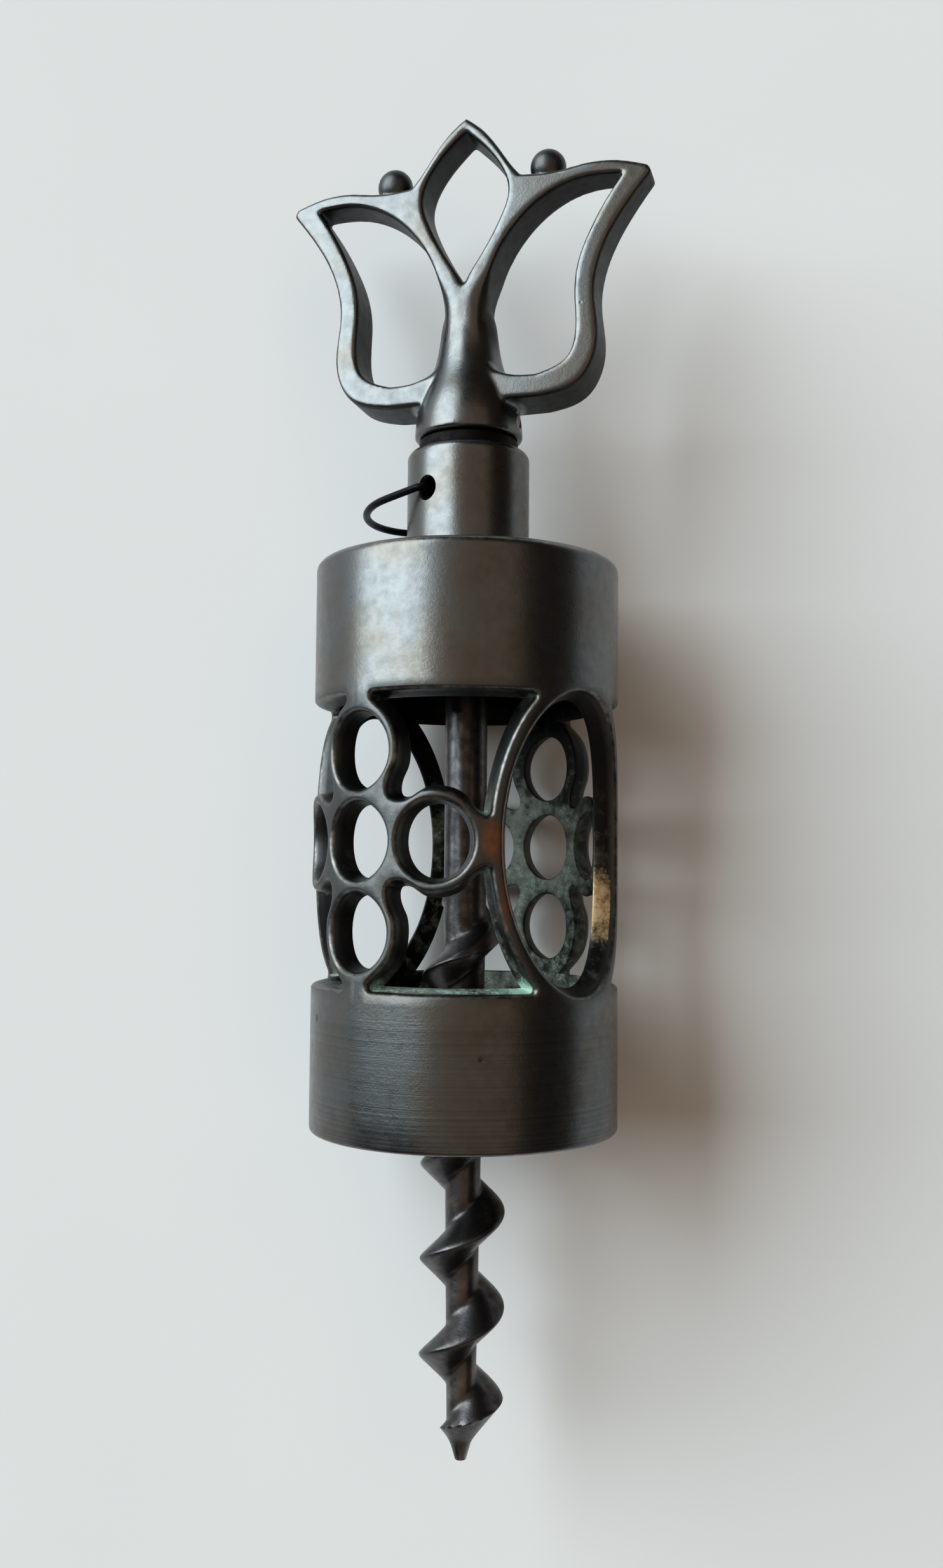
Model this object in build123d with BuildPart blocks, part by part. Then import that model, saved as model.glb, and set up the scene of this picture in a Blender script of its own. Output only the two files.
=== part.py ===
# Barrel corkscrew with a tulip handle, lying on its barrel.
# Millimetres. The worm's axis runs along Y with the handle at +Y, and Z is up.
# The origin is under the middle of the whole length, on the surface that the barrel lies on.
# Angles round the axis are in degrees from straight up, positive towards +X.
import os
from math import asin, ceil, cos, degrees, pi, radians, sin, tan

from build123d import *

os.makedirs("parts", exist_ok=True)

# Barrel casting
barrel_diameter = 36.0
barrel_height = 66.4
barrel_wall = 2.8
band_height = 16.95
top_plate = 4.0
top_edge_round = 1.1
mouth_edge_round = 0.5

# Bottle seat inside the mouth
bottle_recess_depth = 8.0
bottle_ledge_width = 2.0
bottle_ledge_height = 5.5
seat_corner_round = 0.5

# Openwork between the bands: two five-ring flowers and two oval windows
# Shares across are of a quarter of the barrel's round, shares up are of half the open height
flower_angle = -42.0
lattice_bar = 1.3
window_rim = 1.65
window_rim_at_ends = 2.2
petal_shares = (0.1538, 0.2677)
petal_spacing_shares = (0.3519, 0.6123)
flower_neck_share = 0.0707
window_shares = (0.3767, 1.0338)
crotch_share = 0.155
notch_share = 0.485

# Neck collar, the bearing on top of the barrel
neck_diameter = 14.66
neck_height = 13.9
neck_edge_round = 1.1
spigot_diameter = 12.0
bail_hole_height = 8.35
bail_hole_diameter = 2.3
bail_hole_angle = -41.5

# Thrust washer between the neck and the handle
washer_diameter = 11.9
washer_thickness = 1.4

# Tulip handle
handle_height = 39.4
handle_span = 45.0
handle_turn = 16.0
handle_root_thickness = 7.8
handle_tip_thickness = 4.8
hub_diameter = 13.0
hub_height = 18.0
stamen_diameter = 4.4

# Worm and its spindle
worm_reach = 37.7
worm_diameter = 9.9
worm_pitch = 10.9
worm_crest = 0.5
worm_root_width = 5.5
worm_root_diameter = 4.0
worm_crest_height = 9.5
flight_start_height = 28.0
flight_full_height = 17.0
flight_low_height = 2.6
flight_fade_length = 5.3
shaft_diameter = 5.0
core_diameter_at_mouth = 4.3
core_diameter_at_tip = 3.2
tip_diameter = 1.3
tip_length = 3.2
tenon_diameter = 4.0
tenon_length = 8.0
groove_depth = 0.6

# Cross pin that fixes the handle on the spindle
pin_diameter = 1.6
pin_height = 2.2
pin_recess = 0.3

# Wire bail
wire_diameter = 0.9
bail_reach = 14.0
bail_droop = 6.0
bail_bend = 1.0

# Clearances and the overrun of every cut
seat_clearance = 0.03
running_clearance = 0.05
washer_clearance = 0.1
bail_clearance = 0.3
bail_side_clearance = 0.5
overrun = 1.0

# Places along the axis, from the worm's tip to the top of the tulip
length = worm_reach + barrel_height + neck_height + washer_thickness + washer_clearance + handle_height
tip_y = -length / 2
mouth_y = tip_y + worm_reach
seat_y = mouth_y + bottle_recess_depth
ledge_top_y = seat_y + bottle_ledge_height
lattice_y = mouth_y + barrel_height / 2
barrel_top_y = mouth_y + barrel_height
plate_y = barrel_top_y - top_plate
neck_top_y = barrel_top_y + neck_height
washer_top_y = neck_top_y + washer_thickness
hub_y = washer_top_y + washer_clearance
bail_y = barrel_top_y + bail_hole_height

# Radii and half sizes that several pieces share
barrel_radius = barrel_diameter / 2
bore_radius = barrel_radius - barrel_wall
ledge_radius = bore_radius - bottle_ledge_width
spigot_radius = spigot_diameter / 2
neck_radius = neck_diameter / 2
shaft_radius = shaft_diameter / 2
shaft_bore_radius = shaft_radius + running_clearance
tenon_radius = tenon_diameter / 2
hub_radius = hub_diameter / 2
worm_radius = worm_diameter / 2
wire_radius = wire_diameter / 2
groove_radius = shaft_radius - groove_depth
lattice_half = barrel_height / 2 - band_height

axis_z = barrel_radius
half_section = Plane.XY.offset(axis_z)
worm_axis = Axis((0, 0, axis_z), (0, 1, 0))


# A plane square to the line that leaves the axis at this angle: X runs round, Y along the axis
def radial_plane(angle, y, distance=0):
    turn = radians(angle)
    outward = (sin(turn), 0, cos(turn))
    sideways = (cos(turn), 0, -sin(turn))
    return Plane(origin=(0, y, axis_z), x_dir=sideways, z_dir=outward).offset(distance)


# A solid of revolution about the worm's axis, from radius and height pairs
def turned(outline, rounded=()):
    with BuildPart() as blank:
        with BuildSketch(half_section) as section:
            with BuildLine():
                Polyline(*outline, close=True)
            make_face()
            for corner, radius in rounded:
                fillet(section.vertices().sort_by_distance(corner)[0], radius)
        revolve(axis=worm_axis)
    return blank.part


# A cutter whose walls all point at the axis, from an outline unrolled at the barrel's outside
def radial_cutter(angle, edges, closed=False):
    with BuildPart() as cutter:
        for distance in (bore_radius / 2, barrel_radius + overrun):
            with BuildSketch(radial_plane(angle, lattice_y, distance)):
                with BuildLine():
                    for edge in edges:
                        Spline(*[(distance * tan(u / barrel_radius), v) for u, v in edge], periodic=closed)
                make_face()
        loft(ruled=True)
    return cutter.part


# Points of an ellipse, from one angle to another
def ellipse_points(centre, half_width, half_height, first, last, steps):
    angles = [radians(first + (last - first) * step / steps) for step in range(steps + 1)]
    return [(centre[0] + half_width * cos(a), centre[1] + half_height * sin(a)) for a in angles]


# The angle round the barrel of a place in the unrolled pattern
def pattern_angle(u):
    return flower_angle + degrees(u / barrel_radius)


# Rings of the flower: the middle one and four round it
quarter_round = barrel_radius * pi / 2
petal_half_width = petal_shares[0] * quarter_round
petal_half_height = petal_shares[1] * lattice_half
petal_u = petal_spacing_shares[0] * quarter_round
petal_v = petal_spacing_shares[1] * lattice_half
petal_cutters = []
for u, v in [(0, 0), (petal_u, 0), (-petal_u, 0), (0, petal_v), (0, -petal_v)]:
    petal_outline = ellipse_points((0, v), petal_half_width, petal_half_height, 0, 330, 11)
    petal_cutters.append(radial_cutter(pattern_angle(u), [petal_outline], True))

# Oval window, a quarter turn from the flower
window_half_width = window_shares[0] * quarter_round
window_half_height = window_shares[1] * lattice_half
window_outline = ellipse_points((0, 0), window_half_width, window_half_height, 0, 345, 23)
window_cutter = radial_cutter(pattern_angle(quarter_round), [window_outline], True)

# Three-sided opening between the flower, the window's rim and a band
rim_half_width = window_half_width + window_rim
rim_half_height = window_half_height + window_rim_at_ends
rim_top = 180 - degrees(asin(lattice_half / rim_half_height))
rim_crotch = 180 - degrees(asin(crotch_share * lattice_half / rim_half_height))
rim_edge = ellipse_points((quarter_round, 0), rim_half_width, rim_half_height, rim_top, rim_crotch, 4)
band_edge_start = (flower_neck_share * quarter_round, lattice_half)
band_edge_middle = ((band_edge_start[0] + rim_edge[0][0]) / 2, lattice_half)
band_edge = [band_edge_start, band_edge_middle, rim_edge[0]]
notch = (petal_u * notch_share, petal_v * notch_share)
ring_half_width = petal_half_width + lattice_bar
ring_half_height = petal_half_height + lattice_bar
side_ring = ellipse_points((petal_u, 0), ring_half_width, ring_half_height, 35, 125, 3)
top_ring = ellipse_points((0, petal_v), ring_half_width, ring_half_height, -35, 50, 2)
lace_edge = [rim_edge[-1], *side_ring, notch, *top_ring, band_edge_start]
gap_u = band_edge_middle[0]
gap_cutters = []
for side in (1, -1):
    for end in (1, -1):
        gap_edges = (band_edge, rim_edge, lace_edge)
        edges = [[(side * (u - gap_u), end * v) for u, v in edge] for edge in gap_edges]
        gap_cutters.append(radial_cutter(pattern_angle(side * gap_u), edges))

# Barrel casting: top plate, two bands, the openwork and the bottle ledge
barrel_outline = [
    (barrel_radius, mouth_y),
    (barrel_radius, barrel_top_y),
    (spigot_radius + seat_clearance, barrel_top_y),
    (spigot_radius + seat_clearance, plate_y),
    (bore_radius, plate_y),
    (bore_radius, ledge_top_y),
    (ledge_radius, ledge_top_y),
    (ledge_radius, seat_y),
    (bore_radius, seat_y),
    (bore_radius, mouth_y),
]
barrel_rounds = [
    ((barrel_radius, barrel_top_y), top_edge_round),
    ((barrel_radius, mouth_y), mouth_edge_round),
    ((bore_radius, seat_y), seat_corner_round),
]
with BuildPart() as barrel_frame:
    add(turned(barrel_outline, barrel_rounds))
    for cutter in [*petal_cutters, *gap_cutters, window_cutter]:
        add(cutter, mode=Mode.SUBTRACT)
        add(cutter.rotate(worm_axis, 180), mode=Mode.SUBTRACT)
barrel_frame.part.label = "barrel_frame"

# Neck collar: a turned bearing bush, pressed into the top plate by its spigot
neck_outline = [
    (shaft_bore_radius, plate_y),
    (spigot_radius, plate_y),
    (spigot_radius, barrel_top_y),
    (neck_radius, barrel_top_y),
    (neck_radius, neck_top_y),
    (shaft_bore_radius, neck_top_y),
]
with BuildPart() as neck_collar:
    add(turned(neck_outline, [((neck_radius, neck_top_y), neck_edge_round)]))
    with BuildSketch(radial_plane(bail_hole_angle, bail_y)):
        Circle(bail_hole_diameter / 2)
    extrude(amount=neck_radius + overrun, both=True, mode=Mode.SUBTRACT)
neck_collar.part.label = "neck_collar"

# Thrust washer, lying on the neck under the handle's hub
washer_outline = [
    (shaft_bore_radius, neck_top_y),
    (washer_diameter / 2, neck_top_y),
    (washer_diameter / 2, washer_top_y),
    (shaft_bore_radius, washer_top_y),
]
with BuildPart() as thrust_washer:
    add(turned(washer_outline))
thrust_washer.part.label = "thrust_washer"

# Tulip outline, right half, as shares of half the span and of the handle's height
lobe_root_share = (0.413, 0.098)
lobe_side_shares = [
    (0.622, 0.135),
    (0.722, 0.246),
    (0.706, 0.411),
    (0.782, 0.581),
    (1.0, 0.764),
]
tip_top_share = (0.982, 0.784)
lobe_top_shares = [(0.84, 0.806), (0.667, 0.81), (0.5, 0.795), (0.304, 0.797)]
petal_side_shares = [(0.267, 0.822), (0.187, 0.888), (0.08, 0.964), (0.0, 1.0)]
lobe_hole_inner_shares = [
    (0.851, 0.766),
    (0.64, 0.766),
    (0.467, 0.731),
    (0.324, 0.668),
    (0.218, 0.589),
    (0.147, 0.497),
    (0.118, 0.391),
    (0.13, 0.28),
    (0.204, 0.19),
    (0.4, 0.1675),
]
lobe_hole_outer_shares = [
    (0.4, 0.1675),
    (0.562, 0.212),
    (0.607, 0.338),
    (0.6, 0.414),
    (0.62, 0.508),
    (0.676, 0.594),
    (0.762, 0.688),
    (0.851, 0.766),
]
heart_hole_shares = [
    (0.0, 0.957),
    (0.16, 0.863),
    (0.238, 0.746),
    (0.204, 0.678),
    (0.116, 0.579),
    (0.0, 0.475),
]
stamen_share = (0.433, 0.835)
hub_side_shares = [
    (1.0, 0.0),
    (0.985, 0.11),
    (0.9, 0.25),
    (0.74, 0.4),
    (0.61, 0.55),
    (0.54, 0.7),
    (0.49, 0.92),
]

handle_turn_angle = radians(handle_turn)
handle_plane = Plane(
    origin=(0, hub_y, axis_z),
    x_dir=(cos(handle_turn_angle), 0, sin(handle_turn_angle)),
    z_dir=(-sin(handle_turn_angle), 0, cos(handle_turn_angle)),
)
handle_side_plane = Plane(origin=handle_plane.origin, x_dir=handle_plane.z_dir, z_dir=-handle_plane.x_dir)


# A place on the handle's face, from its shares
def on_handle(share, side=1):
    return (side * share[0] * handle_span / 2, share[1] * handle_height)


# A closed face made of splines and lines through shares, on one side of the handle
def handle_face(runs, side=1):
    with BuildSketch() as face:
        with BuildLine():
            for run in runs:
                points = [on_handle(share, side) for share in run]
                if len(points) > 2:
                    Spline(*points)
                else:
                    Line(*points)
        make_face()
    return face.sketch


half_tulip_runs = [
    [(0.0, lobe_root_share[1]), lobe_root_share],
    [lobe_root_share, *lobe_side_shares],
    [lobe_side_shares[-1], tip_top_share],
    [tip_top_share, *lobe_top_shares],
    [lobe_top_shares[-1], *petal_side_shares],
    [petal_side_shares[-1], (0.0, lobe_root_share[1])],
]
lobe_hole_runs = [lobe_hole_inner_shares, lobe_hole_outer_shares]
heart_hole_runs = [heart_hole_shares, [heart_hole_shares[-1], heart_hole_shares[0]]]

# Tulip handle: one flat casting with a round hub, two side petals, a middle petal and two stamens
with BuildPart() as tulip_handle:
    with BuildSketch(handle_plane):
        for side in (1, -1):
            add(handle_face(half_tulip_runs, side))
        for side in (1, -1):
            add(handle_face(lobe_hole_runs, side), mode=Mode.SUBTRACT)
            add(handle_face(heart_hole_runs, side), mode=Mode.SUBTRACT)
    extrude(amount=handle_root_thickness / 2, both=True)
    with BuildSketch(handle_side_plane):
        with BuildLine():
            Polyline(
                (-handle_root_thickness / 2, 0),
                (handle_root_thickness / 2, 0),
                (handle_tip_thickness / 2, handle_height + overrun),
                (-handle_tip_thickness / 2, handle_height + overrun),
                close=True,
            )
        make_face()
    extrude(amount=handle_span / 2 + overrun, both=True, mode=Mode.INTERSECT)
    with BuildSketch(handle_plane):
        with BuildLine():
            hub_side = [(hub_radius * r, hub_height * h) for r, h in hub_side_shares]
            Spline(*hub_side)
            Polyline(hub_side[-1], (0, hub_height), (0, 0), hub_side[0])
        make_face()
    revolve(axis=worm_axis)
    for side in (1, -1):
        with Locations(handle_plane.from_local_coords(Vector(*on_handle(stamen_share, side)))):
            Sphere(stamen_diameter / 2)
    with BuildSketch(Plane(origin=(0, hub_y, axis_z), z_dir=(0, 1, 0))):
        Circle(tenon_radius + seat_clearance)
    extrude(amount=tenon_length + seat_clearance, mode=Mode.SUBTRACT)
    with BuildSketch(handle_side_plane):
        with Locations((0, pin_height)):
            Circle(pin_diameter / 2 + seat_clearance)
    extrude(amount=hub_radius + overrun, both=True, mode=Mode.SUBTRACT)
tulip_handle.part.label = "tulip_handle"

# Cross pin, filed back just under the hub's surface
with BuildPart() as handle_pin:
    with BuildSketch(handle_side_plane):
        with Locations((0, pin_height)):
            Circle(pin_diameter / 2)
    extrude(amount=hub_radius - pin_recess, both=True)
handle_pin.part.label = "handle_pin"

# One turn of the worm's flight: a triangle carried round a right-handed helix, from a crest on top
flight_turns_below = int((worm_reach + worm_crest_height) / worm_pitch)
flight_low_y = mouth_y + worm_crest_height - flight_turns_below * worm_pitch
flight_high_y = mouth_y + flight_start_height
flight_turns = ceil((flight_high_y - flight_low_y) / worm_pitch)
worm_root_radius = worm_root_diameter / 2
flank_slope = (worm_root_width - worm_crest) / 2 / (worm_radius - worm_root_radius)
buried_radius = core_diameter_at_tip / 2 - worm_crest
buried_half_width = worm_crest / 2 + flank_slope * (worm_radius - buried_radius)
flight_centre = (0, flight_low_y, axis_z)
with BuildPart() as worm_turn:
    with BuildLine() as helix:
        Helix(worm_pitch, worm_pitch, worm_root_radius, flight_centre, (0, 1, 0))
    with BuildSketch(Plane(origin=flight_centre, x_dir=(0, 0, 1), z_dir=(-1, 0, 0))):
        with BuildLine():
            Polyline(
                (buried_radius, -buried_half_width),
                (worm_radius, -worm_crest / 2),
                (worm_radius, worm_crest / 2),
                (buried_radius, buried_half_width),
                close=True,
            )
        make_face()
    sweep(path=helix.line, is_frenet=True)

# The flight's envelope: it dies out into the shaft above and into the core near the tip
clear_radius = worm_radius + overrun
flight_envelope = turned(
    [
        (0, tip_y),
        (tip_diameter / 2, tip_y),
        (core_diameter_at_tip / 2, tip_y + flight_low_height),
        (clear_radius, tip_y + flight_low_height + flight_fade_length),
        (clear_radius, mouth_y + flight_full_height),
        (core_diameter_at_mouth / 2, flight_high_y),
        (0, flight_high_y),
    ]
)

# Spindle and worm in one piece, with the bail's groove and the tenon for the handle
spindle_outline = [
    (0, tip_y),
    (tip_diameter / 2, tip_y),
    (core_diameter_at_tip / 2, tip_y + tip_length),
    (core_diameter_at_mouth / 2, mouth_y),
    (shaft_radius, flight_high_y),
    (shaft_radius, bail_y - wire_radius - bail_clearance),
    (groove_radius, bail_y - wire_radius - bail_clearance),
    (groove_radius, bail_y + wire_radius + bail_clearance),
    (shaft_radius, bail_y + wire_radius + bail_clearance),
    (shaft_radius, hub_y),
    (tenon_radius, hub_y),
    (tenon_radius, hub_y + tenon_length),
    (0, hub_y + tenon_length),
]
with BuildPart() as worm_spindle:
    add(turned(spindle_outline))
    for turn in range(flight_turns):
        add(worm_turn.part.moved(Pos(0, turn * worm_pitch, 0)).intersect(flight_envelope))
    with BuildSketch(handle_side_plane):
        with Locations((0, pin_height)):
            Circle(pin_diameter / 2 + seat_clearance)
    extrude(amount=shaft_radius + overrun, both=True, mode=Mode.SUBTRACT)
worm_spindle.part.label = "worm_spindle"

# Wire bail, hanging a little towards the barrel: its ends pass through the neck into the spindle's groove
bail_half_width = neck_radius + bail_side_clearance + wire_radius
bail_tip = groove_radius + bail_clearance
bail_leg = bail_reach - bail_half_width
bail_level = Plane(
    origin=(0, bail_y, axis_z),
    x_dir=radial_plane(bail_hole_angle, bail_y).z_dir,
    z_dir=(0, -1, 0),
)
bail_plane = Plane(bail_level.location * Rotation(bail_droop, 0, 0))
with BuildPart() as hang_bail:
    with BuildLine(bail_plane) as wire:
        first_stub = Line((bail_tip, 0), (bail_half_width - bail_bend, 0))
        first_bend = JernArc(first_stub @ 1, (1, 0), bail_bend, 90)
        first_leg = Line((bail_half_width, bail_bend), (bail_half_width, bail_leg))
        crown = ThreePointArc((bail_half_width, bail_leg), (0, bail_reach), (-bail_half_width, bail_leg))
        last_leg = Line((-bail_half_width, bail_leg), (-bail_half_width, bail_bend))
        last_bend = JernArc((-bail_half_width, bail_bend), (0, -1), bail_bend, 90)
        last_stub = Line((bail_bend - bail_half_width, 0), (-bail_tip, 0))
    with BuildSketch(Plane(origin=wire.line @ 0, z_dir=wire.line % 0)):
        Circle(wire_radius)
    sweep(path=wire.line)
hang_bail.part.label = "hang_bail"

for piece in (barrel_frame, neck_collar, thrust_washer, tulip_handle, handle_pin, worm_spindle, hang_bail):
    export_step(piece.part, f"parts/{piece.part.label}.step")
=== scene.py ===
from math import atan2, cos, pi, radians, sin, sqrt

import bmesh
import bpy
import numpy as np
from mathutils import Matrix, Vector
from mathutils.geometry import delaunay_2d_cdt


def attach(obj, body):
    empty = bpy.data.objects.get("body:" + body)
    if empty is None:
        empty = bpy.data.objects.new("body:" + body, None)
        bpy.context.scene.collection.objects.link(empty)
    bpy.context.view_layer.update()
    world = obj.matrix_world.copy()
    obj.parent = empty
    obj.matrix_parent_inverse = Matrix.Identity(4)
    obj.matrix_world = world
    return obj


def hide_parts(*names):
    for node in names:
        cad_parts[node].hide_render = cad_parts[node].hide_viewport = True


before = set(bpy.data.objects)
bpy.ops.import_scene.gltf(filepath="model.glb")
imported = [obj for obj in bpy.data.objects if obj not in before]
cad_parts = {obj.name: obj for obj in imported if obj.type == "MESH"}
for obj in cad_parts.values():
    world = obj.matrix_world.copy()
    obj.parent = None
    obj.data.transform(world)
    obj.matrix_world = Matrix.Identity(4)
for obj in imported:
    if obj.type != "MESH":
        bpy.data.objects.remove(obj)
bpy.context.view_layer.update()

print("frame loaded:", ", ".join(sorted(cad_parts)))

mm = 0.001  # lengths below are in millimetres, Blender works in metres
axisHeight = 18.0  # the worm's axis above the table
pointGap = 0.0005  # points closer than this are one
seamGap = 0.002  # the same, where the nodes join their copies


# sRGB hex to the linear colour that a socket takes
def toLinear(hexColour):
    parts = [int(hexColour[k:k + 2], 16) / 255 for k in (1, 3, 5)]
    return tuple(p / 12.92 if p <= 0.04045 else ((p + 0.055) / 1.055) ** 2.4 for p in parts) + (1.0,)


# adds one node with its settings, values and links; a list of sockets goes into a multi-input
def addNode(tree, kind, inputs=None, **settings):
    node = tree.nodes.new(kind)
    for name, value in settings.items():
        setattr(node, name, value)
    for key, value in (inputs or {}).items():
        for one in value if isinstance(value, list) else [value]:
            if isinstance(one, bpy.types.NodeSocket):
                tree.links.new(one, node.inputs[key])
            else:
                node.inputs[key].default_value = one
    return node


# mesh object from millimetre points, with float marks on its points
def meshObject(name, points, faces, marks=None):
    mesh = bpy.data.meshes.new(name)
    mesh.from_pydata([tuple(c * mm for c in p) for p in points], [], faces)
    obj = bpy.data.objects.new(name, mesh)
    bpy.context.scene.collection.objects.link(obj)
    for key, values in (marks or {}).items():
        setMark(obj, key, values)
    return obj


# writes one float mark on every point, for the materials to read
def setMark(obj, name, values):
    found = obj.data.attributes.get(name) or obj.data.attributes.new(name, "FLOAT", "POINT")
    found.data.foreach_set("value", np.ascontiguousarray(values, dtype=np.float32))


# one mark of every point
def readMark(obj, name):
    values = np.zeros(len(obj.data.vertices), np.float32)
    if name in obj.data.attributes:
        obj.data.attributes[name].data.foreach_get("value", values)
    return values


# points and normals of a mesh, the points in millimetres
def readPoints(obj):
    points, normals = (np.zeros(len(obj.data.vertices) * 3, np.float32) for _ in range(2))
    obj.data.vertices.foreach_get("co", points)
    obj.data.vertices.foreach_get("normal", normals)
    return points.reshape(-1, 3) / mm, normals.reshape(-1, 3)


# plain mesh of the evaluated object, with its modifiers gone
def bakeModifiers(obj):
    depsgraph = bpy.context.evaluated_depsgraph_get()
    baked = bpy.data.meshes.new_from_object(obj.evaluated_get(depsgraph), depsgraph=depsgraph)
    if obj.type == "MESH":
        obj.modifiers.clear()
        obj.data = baked
        return obj
    name = obj.name
    bpy.data.objects.remove(obj)
    made = bpy.data.objects.new(name, baked)
    bpy.context.scene.collection.objects.link(made)
    return made


# welds doubles, points the faces outwards and shades smooth up to a crease angle
def finishMesh(obj, crease=40.0):
    work = bmesh.new()
    work.from_mesh(obj.data)
    bmesh.ops.remove_doubles(work, verts=work.verts, dist=pointGap * mm)
    bmesh.ops.recalc_face_normals(work, faces=work.faces)
    work.to_mesh(obj.data)
    work.free()
    obj.data.shade_smooth()
    obj.data.set_sharp_from_angle(angle=radians(crease))
    obj.data.update()
    return obj


# takes the meshes of other objects into one, and removes those objects
def joinMeshes(obj, others):
    work = bmesh.new()
    for piece in (obj, *others):
        work.from_mesh(piece.data)
    work.to_mesh(obj.data)
    work.free()
    for piece in others:
        bpy.data.objects.remove(piece)


# takes one mesh out of another
def cutAway(obj, cutter):
    cut = obj.modifiers.new("cut", "BOOLEAN")
    cut.object, cut.operation, cut.solver = cutter, "DIFFERENCE", "EXACT"
    bakeModifiers(obj)
    bpy.data.objects.remove(cutter)


# gives a piece its one material
def dress(obj, material):
    obj.data.materials.clear()
    obj.data.materials.append(material)


# natural cubic spline through the points, by chord length
def smoothCurve(points, steps):
    pts = np.array(points, float)
    knots = np.concatenate([[0], np.cumsum(np.linalg.norm(np.diff(pts, axis=0), axis=1))])
    spans = np.diff(knots)
    count = len(pts)
    system, right = np.eye(count), np.zeros((count, 2))
    for k in range(1, count - 1):
        system[k, k - 1:k + 2] = spans[k - 1], 2 * (spans[k - 1] + spans[k]), spans[k]
        right[k] = 6 * ((pts[k + 1] - pts[k]) / spans[k] - (pts[k] - pts[k - 1]) / spans[k - 1])
    bend = np.linalg.solve(system, right)
    out = []
    for x in np.linspace(0, knots[-1], steps + 1):
        k = min(max(np.searchsorted(knots, x) - 1, 0), count - 2)
        near, far = (knots[k + 1] - x) / spans[k], (x - knots[k]) / spans[k]
        cubic = ((near ** 3 - near) * bend[k] + (far ** 3 - far) * bend[k + 1]) * spans[k] ** 2 / 6
        out.append(near * pts[k] + far * pts[k + 1] + cubic)
    return np.array(out)


# faces between rows of points, from where each row starts
def rowFaces(starts, count, closed=True):
    faces = []
    for here, there in zip(starts, starts[1:]):
        for k in range(count if closed else count - 1):
            beside = (k + 1) % count
            faces.append((here + k, here + beside, there + beside, there + k))
    return faces


# turned shape about the worm's axis from (radius, y) pairs; a loop joins the last pair to the first
def turnedMesh(name, section, columns, loop=True, marks=None):
    angles = np.arange(columns) * 2 * pi / columns
    points = [(r * sin(a), y, axisHeight + r * cos(a)) for r, y in section for a in angles]
    starts = [row * columns for row in range(len(section))]
    faces = rowFaces(starts + starts[:1] if loop else starts, columns)
    return meshObject(name, points, faces, {k: np.repeat(v, columns) for k, v in (marks or {}).items()})


# rounded corner of a section, from one direction to another
def roundCorner(centre, radius, first, last, steps=5):
    angles = np.radians(np.linspace(first, last, steps + 1))
    return [(centre[0] + radius * cos(a), centre[1] + radius * sin(a)) for a in angles]


# 0 from the first value on outwards, 1 from the second, smooth between; either may be the larger
def ramp(values, none, full):
    share = np.clip((np.asarray(values, float) - none) / (full - none), 0, 1)
    return share * share * (3 - 2 * share)


# geometry node group with named inputs, and its two ends
def newTree(name, inputs):
    tree = bpy.data.node_groups.new(name, "GeometryNodeTree")
    tree.interface.new_socket("Geometry", in_out="INPUT", socket_type="NodeSocketGeometry")
    for label, kind in inputs.items():
        tree.interface.new_socket(label, in_out="INPUT", socket_type="NodeSocket" + kind)
    tree.interface.new_socket("Geometry", in_out="OUTPUT", socket_type="NodeSocketGeometry")
    return tree, tree.nodes.new("NodeGroupInput").outputs, tree.nodes.new("NodeGroupOutput").inputs


# closes a tree: real geometry with its material on
def endTree(tree, geometry, material, ends):
    real = addNode(tree, "GeometryNodeRealizeInstances", {"Geometry": geometry})
    dressed = addNode(tree, "GeometryNodeSetMaterial", {"Geometry": real.outputs[0], "Material": material})
    tree.links.new(dressed.outputs[0], ends["Geometry"])


# runs a tree on an object, its inputs set by identifier, and bakes the result
def runTree(obj, tree, values):
    modifier = obj.modifiers.new(tree.name, "NODES")
    modifier.node_group = tree
    for item in tree.interface.items_tree:
        if item.in_out == "INPUT" and item.name in values:
            modifier[item.identifier] = values[item.name]
    return bakeModifiers(obj)


# empty material, its tree and the piece's own coordinates
def newMaterial(name):
    material = bpy.data.materials.new(name)
    material.use_nodes = True
    tree = material.node_tree
    tree.nodes.clear()
    return material, tree, addNode(tree, "ShaderNodeTexCoord").outputs["Object"]


# Finishes

finish = {
    "bronze": "#606263",  # linished face of the darkened casting
    "bronzeWarm": "#5e5953",  # browner drifts in the same skin
    "bronzeDark": "#191919",  # cast skin in the recesses
    "worn": "#98928b",  # edges rubbed bright
    "film": "#656a61",  # dull grey-green film on the inside
    "verdigris": "#8aab9d",  # pale copper bloom in the corners
    "copper": "#875638",  # skin rubbed through
    "brass": "#dcc196",  # bare metal
    "steel": "#555253",
    "steelDark": "#3a3839",
    "wire": "#141416",
    "washer": "#1d1a18",
}
# sizes of the patterns; grain and turning lines are coarser than real ones, or they would not show
patternSize = {"cloud": 7.0, "skin": 1.3, "grain": 0.3, "lathe": 0.34, "pit": 15.0}
latheStart = -26.5  # the band below this height shows its turning lines
latheFade = 2.0
bumpDepth = 0.04
bumpStrength = {"bronze": 0.3, "steel": 0.4}


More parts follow.
